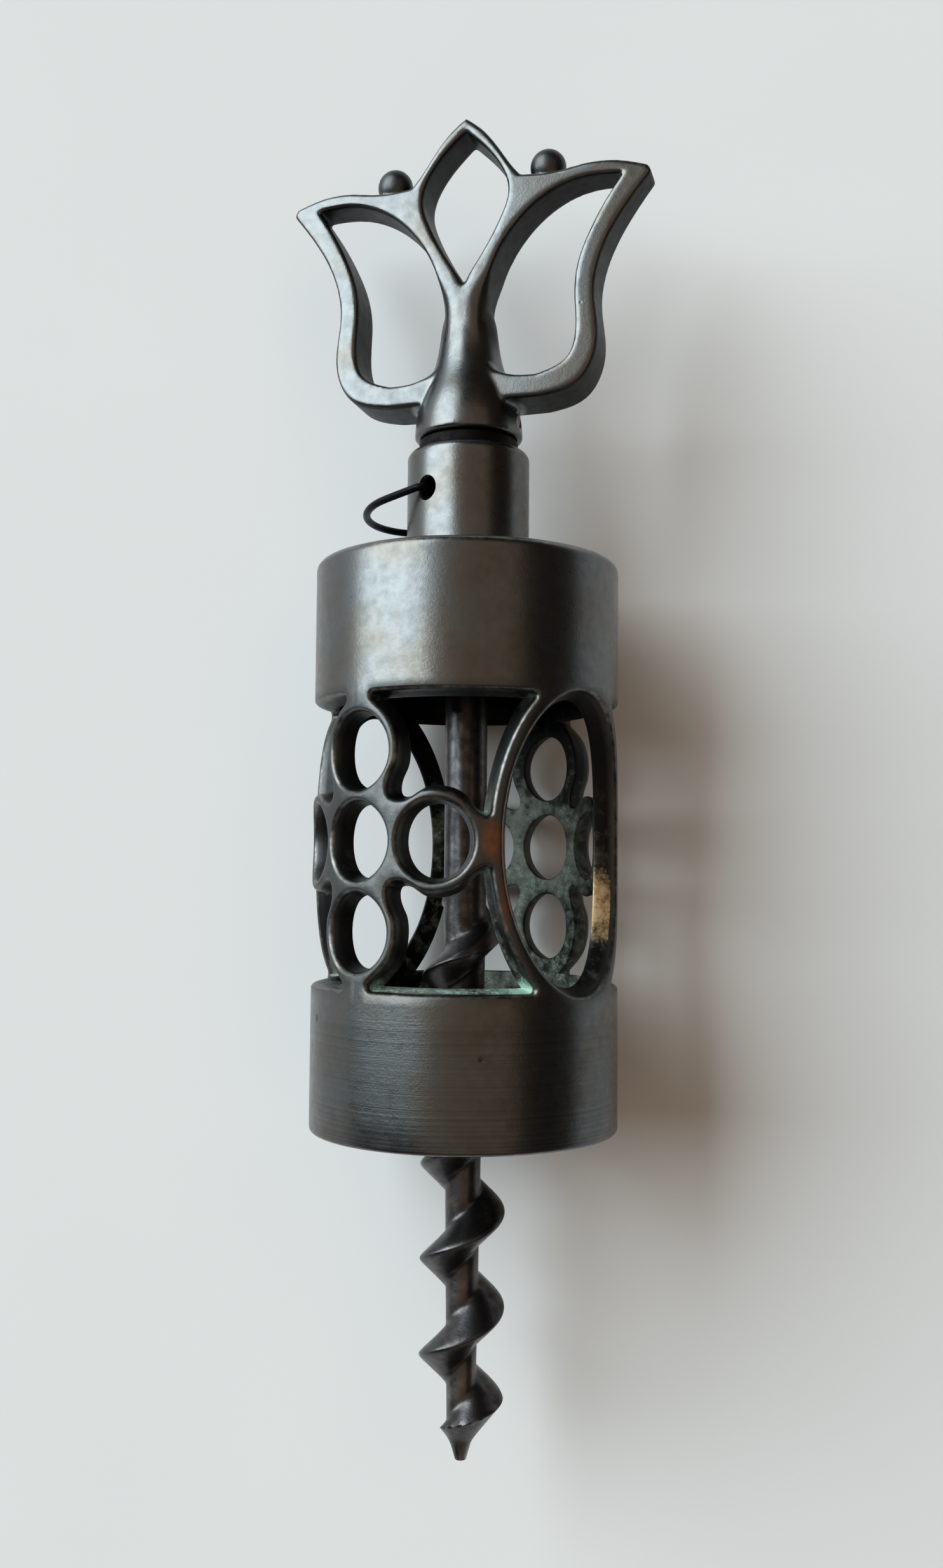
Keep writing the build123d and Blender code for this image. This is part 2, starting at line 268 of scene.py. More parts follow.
# Patinated bronze: cast, turned and darkened in a bath; satin skin, brighter edges, green-black recesses
def patinatedBronze(name):
    material, tree, place = newMaterial(name)
    along = addNode(tree, "ShaderNodeSeparateXYZ", {"Vector": place}).outputs["Y"]
    sockets = {}
    for key, detail, rough in (("cloud", 3.0, 0.55), ("skin", 5.0, 0.6), ("grain", 3.0, 0.6)):
        scale = 1 / (patternSize[key] * mm)
        values = {"Vector": place, "Scale": scale, "Detail": detail, "Roughness": rough}
        sockets[key] = addNode(tree, "ShaderNodeTexNoise", values).outputs["Fac"]
    for key in ("wear", "inside", "bloom", "rubbed", "bare"):
        sockets[key + "Mark"] = addNode(tree, "ShaderNodeAttribute", attribute_name=key).outputs["Fac"]
    pitScale = {"Vector": place, "Scale": 1 / (patternSize["pit"] * mm)}
    sockets["pitAway"] = addNode(tree, "ShaderNodeTexVoronoi", pitScale).outputs["Distance"]
    # turning lines run round the mouth band only
    lineScale = {"W": along, "Scale": 1 / (patternSize["lathe"] * mm), "Detail": 4.0, "Roughness": 0.75}
    sockets["lines"] = addNode(tree, "ShaderNodeTexNoise", lineScale, noise_dimensions="1D").outputs["Fac"]
    bandEnds = {"Value": along, "From Min": latheStart * mm, "From Max": (latheStart - latheFade) * mm}
    sockets["onBand"] = addNode(tree, "ShaderNodeMapRange", bandEnds).outputs["Result"]
    # patterns and marks taken together
    for key, operation, *terms in (
        ("speck", "ADD", "grain", "skin"),
        ("spread", "ADD", "cloud", "skin"),
        ("bandLines", "MULTIPLY", "onBand", "lines"),
        ("wornSkin", "MULTIPLY", "wearMark", "skin"),
        ("rubbedSkin", "MULTIPLY", "rubbedMark", "skin"),
        ("bareSpeck", "MULTIPLY", "bareMark", "speck"),
        ("bloomSpeck", "ADD", "speck", "bloomMark"),
        ("filmSpread", "ADD", "bloomMark", "spread"),
    ):
        values = {k: sockets[term] for k, term in enumerate(terms)}
        sockets[key] = addNode(tree, "ShaderNodeMath", values, operation=operation).outputs[0]
    # each layer's source, the two ends of its edge, and the least and most of it
    for key, source, low, high, least, most in (
        ("warm", "cloud", 0.44, 0.64, 0.0, 0.7),
        ("mottle", "skin", 0.4, 0.75, 0.0, 0.22),
        ("turning", "bandLines", 0.4, 0.68, 0.0, 0.3),
        ("wear", "wornSkin", 0.28, 0.62, 0.0, 1.0),
        ("rubbed", "rubbedSkin", 0.16, 0.5, 0.0, 1.0),
        ("bare", "bareSpeck", 0.5, 0.95, 0.0, 1.0),
        ("pit", "pitAway", 0.034, 0.02, 0.0, 0.9),
        ("bloom", "bloomSpeck", 1.36, 1.72, 0.0, 1.0),
        ("filmThere", "bloomMark", 0.06, 0.16, 0.0, 1.0),
        ("filmPatches", "filmSpread", 1.1, 1.48, 0.0, 0.75),
        ("satin", "skin", 0.3, 0.7, 0.25, 0.34),
    ):
        ends = {"Value": sockets[source], "From Min": low, "From Max": high, "To Min": least, "To Max": most}
        sockets[key] = addNode(tree, "ShaderNodeMapRange", ends).outputs["Result"]
    # film only where there is some bloom, then how metallic, rough and raised the skin is
    for key, operation, *terms in (
        ("film", "MULTIPLY", "filmPatches", "filmThere"),
        ("cover", "MAXIMUM", "bloom", "film"),
        ("metal", "SUBTRACT", 1.0, "cover"),
        ("dull", "MULTIPLY_ADD", "insideMark", 0.22, "satin"),
        ("rough", "MULTIPLY_ADD", "bloom", 0.45, "dull"),
        ("lined", "MULTIPLY_ADD", "lines", "onBand", "speck"),
        ("raised", "MULTIPLY_ADD", "bloom", 2.0, "lined"),
        ("relief", "MULTIPLY_ADD", "pit", -6.0, "raised"),
    ):
        values = {k: sockets.get(term, term) for k, term in enumerate(terms)}
        sockets[key] = addNode(tree, "ShaderNodeMath", values, operation=operation).outputs[0]
    colour = toLinear(finish["bronze"])
    for key, over in (
        ("warm", "bronzeWarm"),
        ("mottle", "bronzeDark"),
        ("turning", "bronzeDark"),
        ("insideMark", "bronzeDark"),
        ("film", "film"),
        ("wear", "worn"),
        ("rubbed", "copper"),
        ("bare", "brass"),
        ("pit", "bronzeDark"),
        ("bloom", "verdigris"),
    ):
        mix = {"Factor": sockets[key], 6: colour, 7: toLinear(finish[over])}
        colour = addNode(tree, "ShaderNodeMix", mix, data_type="RGBA").outputs[2]
    bumpEnds = {"Strength": bumpStrength["bronze"], "Distance": bumpDepth * mm, "Height": sockets["relief"]}
    bump = addNode(tree, "ShaderNodeBump", bumpEnds).outputs["Normal"]
    skin = {"Base Color": colour, "Metallic": sockets["metal"], "Roughness": sockets["rough"], "Normal": bump}
    shader = addNode(tree, "ShaderNodeBsdfPrincipled", skin)
    addNode(tree, "ShaderNodeOutputMaterial", {"Surface": shader.outputs[0]})
    return material


# Darkened steel: forged or drawn, then blackened by oil; dull grey with a fine grain and paler rubbed crests
def darkenedSteel(name, light, dark, roughLow, roughHigh):
    material, tree, place = newMaterial(name)
    sockets = {}
    for key in ("skin", "grain"):
        values = {"Vector": place, "Scale": 1 / (patternSize[key] * mm), "Detail": 5.0, "Roughness": 0.6}
        sockets[key] = addNode(tree, "ShaderNodeTexNoise", values).outputs["Fac"]
    wearMark = addNode(tree, "ShaderNodeAttribute", attribute_name="wear").outputs["Fac"]
    wornSkin = {0: wearMark, 1: sockets["skin"]}
    sockets["wornSkin"] = addNode(tree, "ShaderNodeMath", wornSkin, operation="MULTIPLY").outputs[0]
    for key, source, low, high, least, most in (
        ("mottle", "skin", 0.35, 0.65, 0.0, 1.0),
        ("crest", "wornSkin", 0.2, 0.7, 0.0, 0.7),
        ("rough", "skin", 0.3, 0.7, roughLow, roughHigh),
    ):
        ends = {"Value": sockets[source], "From Min": low, "From Max": high, "To Min": least, "To Max": most}
        sockets[key] = addNode(tree, "ShaderNodeMapRange", ends).outputs["Result"]
    colour = toLinear(light)
    for key, over in (("mottle", dark), ("crest", finish["worn"])):
        mix = {"Factor": sockets[key], 6: colour, 7: toLinear(over)}
        colour = addNode(tree, "ShaderNodeMix", mix, data_type="RGBA").outputs[2]
    bumpEnds = {"Strength": bumpStrength["steel"], "Distance": bumpDepth * mm, "Height": sockets["grain"]}
    bump = addNode(tree, "ShaderNodeBump", bumpEnds).outputs["Normal"]
    skin = {"Base Color": colour, "Metallic": 1.0, "Roughness": sockets["rough"], "Normal": bump}
    shader = addNode(tree, "ShaderNodeBsdfPrincipled", skin)
    addNode(tree, "ShaderNodeOutputMaterial", {"Surface": shader.outputs[0]})
    return material


castBronze = patinatedBronze("patinatedCastBronze")
wormSteel = darkenedSteel("darkenedForgedSteel", finish["steel"], finish["steelDark"], 0.28, 0.4)
wireSteel = darkenedSteel("blackenedSteelWire", finish["wire"], finish["wire"], 0.38, 0.55)
washerMetal = darkenedSteel("blackenedWasher", finish["washer"], finish["wire"], 0.5, 0.7)
print("finishes made")

# Barrel: one eighth of the openwork laid flat, then mirrored, repeated and wrapped round by nodes

barrel = {
    "radius": 18.0,
    "wall": 2.8,
    "openCentre": -8.55,  # middle of the openwork along the axis
    "openHalf": 16.25,
    "flowerAngle": -42.0,
    "petalHole": 4.35,
    "petalSpacing": 9.95,
    "ringBar": 1.3,
    "flowerNeck": 2.0,
    "window": (10.65, 16.8),
    "windowRim": (1.65, 2.2),
    "crotchHeight": 2.5,
    "notchShare": 0.485,
    "ringArcs": ((36, 126), (-36, 54)),  # the part of each ring that edges the three-sided opening
    "edgeRound": 0.56,  # the bars are domed: the round goes deeper than it is wide
    "edgeDepth": 0.85,
    "innerRound": 0.2,
    "petalTaper": 0.3,  # the openings narrow towards the inside
    "gapTaper": 0.45,
    "windowTaper": 0.8,
    "taperSteps": ((0.35, 0.45), (0.8, 0.8)),  # share of the taper reached at a share of the wall
    "crotchLift": 1.55,  # how far the taper moves the two sharp corners
    "notchLift": 0.55,
    "cellTop": 18.4,
    "columns": 32,  # segments in a quarter of the round
    "gapSteps": (36, 80, 24),  # along the rim, the lace and the band
    "gridStep": 0.85,
    "topEdge": 1.1,
    "mouthEdge": 0.5,
    "castRound": 0.5,  # corners inside the casting
    "topY": 24.65,
    "plateY": 20.65,
    "neckHole": 6.03,
    "neckChamfer": 0.3,
    "mouthY": -41.75,
    "seatY": -33.75,
    "ledgeTopY": -28.25,
    "ledgeRadius": 13.2,
    "ledgeChamfers": (0.2, 0.4, 0.3),  # at the seat, the top and the foot
    "topRows": (13.0, 16.5, 20.0),  # places of the mesh's rows on the plain walls
    "rowGap": 0.4,  # the last row stands this far under the top edge's round
    "lowRows": (-30.0, -34.0, -38.0),
    "plateRows": (4.0, 8.0),
    "boreRow": 15.0,
    "openworkDull": 0.42,  # share of cast skin left on the bars
    "dullFade": 1.2,
    "edgeWear": (0.35, 0.3),  # strength and reach
    "bandWear": 0.7,
    "wallBloom": (0.1, 0.4),  # along an edge, and more of it in a corner
    "cornerReach": 1.4,
    "innerBloom": 0.2,
    "bandBloom": 0.15,
    "upperLoss": (0.6, 12.0),  # share of the patina gone, this far above the middle
    "patina": {  # rubbed, bare or green: (angle, height, spread along, spread round, strength)
        "rubbed": [(9.8, -8.2, 2.4, 1.5, 1.0), (15.0, -14.5, 5.5, 1.2, 0.6)],
        "bare": [(76.0, -15.5, 6.5, 2.6, 0.95), (74.0, -5.0, 3.0, 1.6, 0.5)],
        "bloom": [
            (-6.0, -24.9, 0.9, 12.0, 0.42), (21.5, -24.6, 1.4, 2.0, 0.3), (14.0, -17.0, 6.0, 1.6, 0.15),
            (135.0, -10.0, 13.0, 15.0, 0.13), (100.0, -22.0, 5.0, 9.0, 0.2),
        ],
    },
}
quarter = barrel["radius"] * pi / 2
middle = barrel["openCentre"]


# arc of an opening, as points with normals that point into the metal
def openingArc(centre, size, first, last, steps):
    out = []
    for a in np.radians(np.linspace(first, last, steps + 1)):
        normal = Vector((cos(a) / size[0], sin(a) / size[1])).normalized()
        out.append((centre[0] + size[0] * cos(a), centre[1] + size[1] * sin(a), normal.x, normal.y))
    return np.array(out)


# closed outline of the three-sided opening, drawn small by its taper, with fanned corners
def gapOutline(shrink):
    rimSteps, laceSteps, bandSteps = barrel["gapSteps"]
    ring = barrel["petalHole"] + barrel["ringBar"] + shrink
    top = barrel["openHalf"] - shrink
    rimWide, rimTall = (barrel["window"][k] + barrel["windowRim"][k] + shrink for k in (0, 1))
    crotch = barrel["crotchHeight"] + barrel["crotchLift"] * shrink
    rimHeights = np.linspace(top, crotch, rimSteps + 1)
    rimEdge = np.stack([quarter - rimWide * np.sqrt(1 - (rimHeights / rimTall) ** 2), rimHeights], axis=1)
    spot = barrel["petalSpacing"]
    notch = spot * barrel["notchShare"] + barrel["notchLift"] * shrink
    sideArc, topArc = barrel["ringArcs"]
    lace = [tuple(rimEdge[-1]), *roundCorner((spot, 0), ring, *sideArc), (notch, notch)]
    lace += [*roundCorner((0, spot), ring, *topArc), (barrel["flowerNeck"] + shrink, top)]
    laceEdge = smoothCurve(lace, laceSteps)
    bandEdge = np.array([(u, top) for u in np.linspace(laceEdge[-1][0], rimEdge[0][0], bandSteps + 1)])
    runs = []
    for run in (rimEdge, laceEdge, bandEdge):
        tangent = np.gradient(run, axis=0)
        tangent /= np.linalg.norm(tangent, axis=1)[:, None]
        runs.append(np.hstack([run, np.stack([-tangent[:, 1], tangent[:, 0]], axis=1)]))
    out = []
    for run, after in zip(runs, runs[1:] + runs[:1]):
        out.append(run[:-1])
        first, last = atan2(run[-1, 3], run[-1, 2]), atan2(after[0, 3], after[0, 2])
        swing = (last - first + pi) % (2 * pi) - pi
        for a in first + swing * np.linspace(0, 1, 6)[:-1]:
            out.append(np.array([[run[-1, 0], run[-1, 1], cos(a), sin(a)]]))
    return np.vstack(out), [run[-1, :2] for run in runs]


# section through an opening's edge: (offset into the metal, depth under the outside)
def edgeSection(taper, lift=0.0):
    outer, deep, inner, wall = (barrel[key] for key in ("edgeRound", "edgeDepth", "innerRound", "wall"))
    rows = [(outer * (1 - sin(a)), deep * (1 - cos(a))) for a in np.radians(np.linspace(0, 90, 6))]
    rows += [(-taper * narrowed, wall * share) for narrowed, share in barrel["taperSteps"]]
    for a in np.radians(np.linspace(90, 0, 4)):
        rows.append((-taper + inner * (1 - sin(a)), wall - inner * (1 - cos(a))))
    return [(offset + lift, depth) for offset, depth in rows]


# which points lie inside a closed outline
def insidePolygon(points, polygon):
    x, y = points[:, 0], points[:, 1]
    hit = np.zeros(len(points), bool)
    for (ax, ay), (bx, by) in zip(polygon, np.roll(polygon, -1, axis=0)):
        if ay != by:
            hit ^= ((ay > y) != (by > y)) & (x < (bx - ax) * (y - ay) / (by - ay) + ax)
    return hit


# flat triangles between an outer loop and holes, with spare points strewn inside
def fillFlat(outer, holes, spare):
    contour = np.vstack([outer, *holes])
    edges, start = [], 0
    for loop in (outer, *holes):
        edges += [(start + k, start + (k + 1) % len(loop)) for k in range(len(loop))]
        start += len(loop)
    points = np.vstack([contour, spare]) if len(spare) else contour
    made = delaunay_2d_cdt([Vector(p) for p in points], edges, [], 0, 1e-7)
    flat = np.array([tuple(p) for p in made[0]])
    faces = np.array([f for f in made[2] if len(f) == 3])
    centres = flat[faces].mean(axis=1)
    keep = insidePolygon(centres, outer)
    for loop in holes:
        keep &= ~insidePolygon(centres, loop)
    return flat, faces[keep]


# even points inside the cell, in rows of equal triangles, clear of its edges
def strewnPoints(border, gap, step):
    rows = np.arange(0, barrel["cellTop"], step * 0.866)
    firsts = [step * (1 - 0.5 * (r % 2)) for r in range(len(rows))]
    grid = np.array([(u, v) for first, v in zip(firsts, rows) for u in np.arange(first, quarter, step)])
    contour = np.vstack([border, gap])
    near = np.sqrt(((grid[:, None] - contour[None]) ** 2).sum(2)).min(1)
    return grid[(near > step * 0.45) & insidePolygon(grid, border) & ~insidePolygon(grid, gap)]


petal = (barrel["petalHole"],) * 2
spacing = barrel["petalSpacing"]
cellArcs = {  # the openings on the cell's border, each with its taper
    "side": (openingArc((spacing, 0), petal, 180, 0, 28), barrel["petalTaper"]),
    "window": (openingArc((quarter, 0), barrel["window"], 180, 90, 40), barrel["windowTaper"]),
    "top": (openingArc((0, spacing), petal, 90, -90, 28), barrel["petalTaper"]),
    "centre": (openingArc((0, 0), petal, 90, 0, 14), barrel["petalTaper"]),
}
gapTaper = barrel["gapTaper"]
gapBase, gapCorners = gapOutline(gapTaper)
acrossCell = np.linspace(0, quarter, barrel["columns"] + 1)
cellPoints, cellFaces = [], []
cellMarks = {"wear": [], "inside": [], "bloom": []}


# adds points of the flat cell with their marks, and says where they start
def addCell(points, faces, wear, inside, bloom):
    start = len(cellPoints)
    cellPoints.extend(points)
    cellFaces.extend([tuple(int(k) + start for k in f) for f in faces])
    for key, values in (("wear", wear), ("inside", inside), ("bloom", bloom)):
        cellMarks[key].extend(np.broadcast_to(values, len(points)))
    return start


# outer and inner skin of the openwork
sectionRows = len(edgeSection(0))
openHalf, dullFade = barrel["openHalf"], barrel["dullFade"]
edgeWear, wearReach = barrel["edgeWear"]
for row, innerSide in ((0, 0.0), (sectionRows - 1, 1.0)):
    runs = {k: arc[:, :2] + arc[:, 2:] * edgeSection(taper)[row][0] for k, (arc, taper) in cellArcs.items()}
    roof = np.array([(u, barrel["cellTop"]) for u in acrossCell[::-1]])
    border = np.vstack([runs["side"], runs["window"], roof, runs["top"], runs["centre"]])
    offset, depth = edgeSection(gapTaper, gapTaper)[row]
    gap = gapBase[:, :2] + gapBase[:, 2:] * offset
    flat, faces = fillFlat(border, [gap], strewnPoints(border, gap, barrel["gridStep"]))
    edgePoints = np.vstack([runs["side"], runs["window"], runs["top"], runs["centre"], gap])
    away = np.sqrt(((flat[:, None] - edgePoints[None]) ** 2).sum(2)).min(1)
    wear = edgeWear * np.exp(-away / wearReach) * (1 - innerSide)
    dull = barrel["openworkDull"] * ramp(flat[:, 1], openHalf + dullFade, openHalf - dullFade)
    skinPoints = [(u, v, depth) for u, v in flat]
    addCell(skinPoints, faces, wear, np.maximum(innerSide, dull), barrel["innerBloom"] * innerSide)

# walls of the openings, with the wear and the cast skin of each row from the outside in
wearRows = [0.3, 0.6, 0.75, 0.65, 0.4, 0.15] + [0.0] * (sectionRows - 6)
wallRows = [barrel["openworkDull"]] * 4 + [0.48, 0.62] + [0.9] * (sectionRows - 6)
edgeBloom, cornerBloom = barrel["wallBloom"]
edges = [(arc, taper, 0.0, False) for arc, taper in cellArcs.values()]
for arc, taper, lift, closed in edges + [(gapBase, gapTaper, gapTaper, True)]:
    corner = np.zeros(len(arc))
    if closed:
        nearest = np.min([np.linalg.norm(arc[:, :2] - c, axis=1) for c in gapCorners], axis=0)
        corner = np.exp(-nearest / barrel["cornerReach"])
    starts = []
    for (offset, depth), wear, inside in zip(edgeSection(taper, lift), wearRows, wallRows):
        spots = arc[:, :2] + arc[:, 2:] * offset
        bloom = (edgeBloom + cornerBloom * corner) * inside * (inside > 0.5)
        starts.append(addCell([(u, v, depth) for u, v in spots], [], wear, inside, bloom))
    cellFaces.extend(rowFaces(starts, len(arc), closed))
doubledCount = len(cellFaces)

# bands above and below the openwork, in the same flat coordinates, as (depth, height) sections
topEdge, mouthEdge, wall, inner = (barrel[key] for key in ("topEdge", "mouthEdge", "wall", "castRound"))
topY, plateY, mouthY = (barrel[key] for key in ("topY", "plateY", "mouthY"))
seatY, ledgeTopY, lipY = barrel["seatY"], barrel["ledgeTopY"], mouthY + mouthEdge
neckDepth, ledgeDepth = barrel["radius"] - barrel["neckHole"], barrel["radius"] - barrel["ledgeRadius"]
neckCut = barrel["neckChamfer"]
seatCut, ledgeCut, footCut = barrel["ledgeChamfers"]
outerRow, innerRow = barrel["plateRows"]
topRows = (middle + barrel["cellTop"], *barrel["topRows"], topY - topEdge - barrel["rowGap"])
topBand = [(0, y) for y in topRows] + roundCorner((topEdge, topY - topEdge), topEdge, 180, 90, 7)
topBand += [(outerRow, topY), (innerRow, topY), (neckDepth - neckCut, topY), (neckDepth, topY - neckCut)]
topBand += [(neckDepth, plateY), (innerRow, plateY)]
topBand += roundCorner((wall + inner, plateY - inner), inner, 90, 180)
topBand += [(wall, barrel["boreRow"]), (wall, middle + barrel["cellTop"])]
lowBand = [(0, y) for y in (middle - barrel["cellTop"], *barrel["lowRows"])]
lowBand += roundCorner((mouthEdge, lipY), mouthEdge, 180, 270)
lowBand += roundCorner((wall - mouthEdge, lipY), mouthEdge, 270, 360)
lowBand += [(wall, barrel["lowRows"][-1]), *roundCorner((wall + inner, seatY - inner), inner, 180, 90)]
lowBand += [(ledgeDepth - seatCut, seatY), (ledgeDepth, seatY + seatCut), (ledgeDepth, ledgeTopY - ledgeCut)]
lowBand += [(ledgeDepth - ledgeCut, ledgeTopY), (wall + footCut, ledgeTopY), (wall, ledgeTopY + footCut)]
lowBand += [(wall, middle - barrel["cellTop"])]
# a few tenths of slack keep the rounded edges out of the inside, and the flat faces out of the wear
for section, edgeY, span in ((topBand, topY, topEdge), (lowBand, mouthY, mouthEdge)):
    starts = []
    for depth, y in section:
        inside = float(depth > wall - 0.3 and mouthY + 0.2 < y < topY - 0.1)
        onEdge = 0.05 < depth < span * 0.95 and abs(y - edgeY) < span * 0.95
        row = [(u, y - middle, depth) for u in acrossCell]
        starts.append(addCell(row, [], barrel["bandWear"] * onEdge, inside, barrel["bandBloom"] * inside))
    cellFaces.extend(rowFaces(starts, len(acrossCell), False))

barrelCasting = meshObject("barrelCasting", cellPoints, cellFaces, cellMarks)
doubled = barrelCasting.data.attributes.new("doubled", "BOOLEAN", "FACE")
doubled.data.foreach_set("value", [k < doubledCount for k in range(len(cellFaces))])

# nodes: mirror the openwork down, mirror the cell across, repeat it half a turn on, wrap it, weld the seams
wrapInputs = {"Radius": "Float", "Flower angle": "Float", "Openwork centre": "Float", "Axis height": "Float"}
wrapTree, given, wrapEnds = newTree("wrapOpenwork", {**wrapInputs, "Weld": "Float", "Material": "Material"})
cell = given["Geometry"]
place = addNode(wrapTree, "GeometryNodeInputPosition").outputs[0]
flatPlace = addNode(wrapTree, "ShaderNodeSeparateXYZ", {"Vector": place}).outputs
sockets = {name: given[name] for name in wrapInputs}
sockets.update(u=flatPlace["X"], v=flatPlace["Y"], depth=flatPlace["Z"])
for name, operation, *terms in (
    ("halfRound", "MULTIPLY", "Radius", pi),
    ("turn", "DIVIDE", "u", "Radius"),
    ("angle", "ADD", "turn", "Flower angle"),
    ("reach", "SUBTRACT", "Radius", "depth"),
    ("sine", "SINE", "angle"),
    ("cosine", "COSINE", "angle"),
    ("x", "MULTIPLY", "reach", "sine"),
    ("y", "ADD", "v", "Openwork centre"),
    ("z", "MULTIPLY_ADD", "reach", "cosine", "Axis height"),
):
    values = {k: sockets.get(term, term) for k, term in enumerate(terms)}
    sockets[name] = addNode(wrapTree, "ShaderNodeMath", values, operation=operation).outputs[0]
sidestep = addNode(wrapTree, "ShaderNodeCombineXYZ", {"X": sockets["halfRound"]}).outputs[0]
wrapped = addNode(wrapTree, "ShaderNodeCombineXYZ", {k.upper(): sockets[k] for k in "xyz"}).outputs[0]
doubledName = {"Name": "doubled"}
isDoubled = addNode(wrapTree, "GeometryNodeInputNamedAttribute", doubledName, data_type="BOOLEAN").outputs[0]
openworkPick = {"Geometry": cell, "Selection": isDoubled}
openwork = addNode(wrapTree, "GeometryNodeSeparateGeometry", openworkPick, domain="FACE").outputs["Selection"]
downwards = {"Geometry": openwork, "Scale": (1, -1, 1)}
lowerHalf = addNode(wrapTree, "GeometryNodeTransform", downwards).outputs[0]
lowerFlip = addNode(wrapTree, "GeometryNodeFlipFaces", {"Mesh": lowerHalf}).outputs[0]
strip = addNode(wrapTree, "GeometryNodeJoinGeometry", {"Geometry": [cell, lowerFlip]}).outputs[0]
sideways = {"Geometry": strip, "Translation": sidestep, "Scale": (-1, 1, 1)}
across = addNode(wrapTree, "GeometryNodeTransform", sideways).outputs[0]
acrossFlip = addNode(wrapTree, "GeometryNodeFlipFaces", {"Mesh": across}).outputs[0]
half = addNode(wrapTree, "GeometryNodeJoinGeometry", {"Geometry": [strip, acrossFlip]}).outputs[0]
otherHalf = addNode(wrapTree, "GeometryNodeTransform", {"Geometry": half, "Translation": sidestep}).outputs[0]
whole = addNode(wrapTree, "GeometryNodeJoinGeometry", {"Geometry": [half, otherHalf]}).outputs[0]
placed = addNode(wrapTree, "GeometryNodeSetPosition", {"Geometry": whole, "Position": wrapped}).outputs[0]
seams = {"Geometry": placed, "Distance": given["Weld"]}
welded = addNode(wrapTree, "GeometryNodeMergeByDistance", seams).outputs[0]
endTree(wrapTree, welded, given["Material"], wrapEnds)
runTree(barrelCasting, wrapTree, {
    "Radius": barrel["radius"] * mm,
    "Flower angle": radians(barrel["flowerAngle"]),
    "Openwork centre": middle * mm,
    "Axis height": axisHeight * mm,
    "Weld": seamGap * mm,
    "Material": castBronze,
})
finishMesh(barrelCasting, 50.0)

# patina of this barrel; only the rubbed places lie on the outside too
points, _ = readPoints(barrelCasting)
turned = np.degrees(np.arctan2(points[:, 0], points[:, 2] - axisHeight))
reach = np.hypot(points[:, 0], points[:, 2] - axisHeight)
onWall = ramp(readMark(barrelCasting, "inside"), 0.45, 0.65)
lossShare, lossHeight = barrel["upperLoss"]
kept = 1 - lossShare * ramp(points[:, 1], middle, middle + lossHeight)
for key, spots in barrel["patina"].items():
    values = readMark(barrelCasting, key) * kept
    for angle, y, tall, wide, strength in spots:
        arc = np.radians((turned - angle + 180) % 360 - 180) * reach
        near = np.exp(-((points[:, 1] - y) / tall) ** 2 - (arc / wide) ** 2)
        values = values + strength * near * (1.0 if key == "rubbed" else onWall)
    setMark(barrelCasting, key, values)
print("barrel wrapped:", len(barrelCasting.data.polygons), "faces")

# Neck collar: turned bush with a hole each side for the bail

neck = {
    "radius": 7.33, "bore": 2.55, "spigot": 6.0, "bottomY": 20.65, "shoulderY": 24.65, "topY": 38.55,
    "topEdge": 1.1, "footEdge": 0.15, "wear": 0.5,
    "columns": 128, "rows": (27.0, 30.0, 33.0, 35.5), "topRow": 4.5,
    "holeY": 33.0, "holeRadius": 1.15, "holeAngle": -41.5, "holeColumns": 48, "drillFrom": -1.0,
    "flareFrom": 6.6, "flare": ((0.08, 6.95), (0.25, 7.2), (0.6, 7.6)),  # wider by this, at this radius
}
foot, shoulderY, edge = neck["footEdge"], neck["shoulderY"], neck["topEdge"]
neckSection = [(neck["bore"], neck["bottomY"]), (neck["spigot"], neck["bottomY"])]
neckSection += [(neck["spigot"], shoulderY), (neck["radius"] - foot, shoulderY)]
neckSection += [(neck["radius"], shoulderY + foot)]
neckSection += [(neck["radius"], y) for y in neck["rows"]]
neckSection += roundCorner((neck["radius"] - edge, neck["topY"] - edge), edge, 0, 90, 7)
neckSection += [(neck["topRow"], neck["topY"]), (neck["bore"], neck["topY"])]
wearFrom = neck["topY"] - edge * 0.95
neckWear = [neck["wear"] if y > wearFrom and r > neck["spigot"] else 0.0 for r, y in neckSection]
neckCollar = finishMesh(turnedMesh("neckCollar", neckSection, neck["columns"], True, {"wear": neckWear}))
hole, drillFrom = neck["holeRadius"], neck["drillFrom"]
drillSection = [(0.0, drillFrom), (hole, drillFrom), (hole, neck["flareFrom"])]
drillSection += [(hole + out, y) for out, y in neck["flare"]] + [(0.0, neck["flare"][-1][1])]
toAxis = Matrix.Translation((0, 0, axisHeight * mm))
for side in (0, 180):
    drill = turnedMesh("drill", drillSection, neck["holeColumns"], False)
    aim = Matrix.Rotation(radians(neck["holeAngle"] + side), 4, "Y") @ Matrix.Rotation(radians(90), 4, "X")
    drill.data.transform(Matrix.Translation((0, neck["holeY"] * mm, 0)) @ toAxis @ aim @ toAxis.inverted())
    cutAway(neckCollar, finishMesh(drill))
finishMesh(neckCollar, 38.0)
dress(neckCollar, castBronze)
print("neck turned:", len(neckCollar.data.polygons), "faces")

# Thrust washer in the groove under the hub

washer = {"radius": 5.95, "bore": 2.55, "bottomY": 38.55, "topY": 39.95, "edge": 0.25, "columns": 96}
edge = washer["edge"]
rim = washer["radius"] - edge
washerSection = [(washer["bore"], washer["bottomY"])]
washerSection += roundCorner((rim, washer["bottomY"] + edge), edge, -90, 0, 4)
washerSection += roundCorner((rim, washer["topY"] - edge), edge, 0, 90, 4)
washerSection += [(washer["bore"], washer["topY"])]
thrustWasher = finishMesh(turnedMesh("thrustWasher", washerSection, washer["columns"]))
dress(thrustWasher, washerMetal)
print("washer turned")

# Tulip handle: a flat casting with rounded bars, its hub, stem and stamens blended in

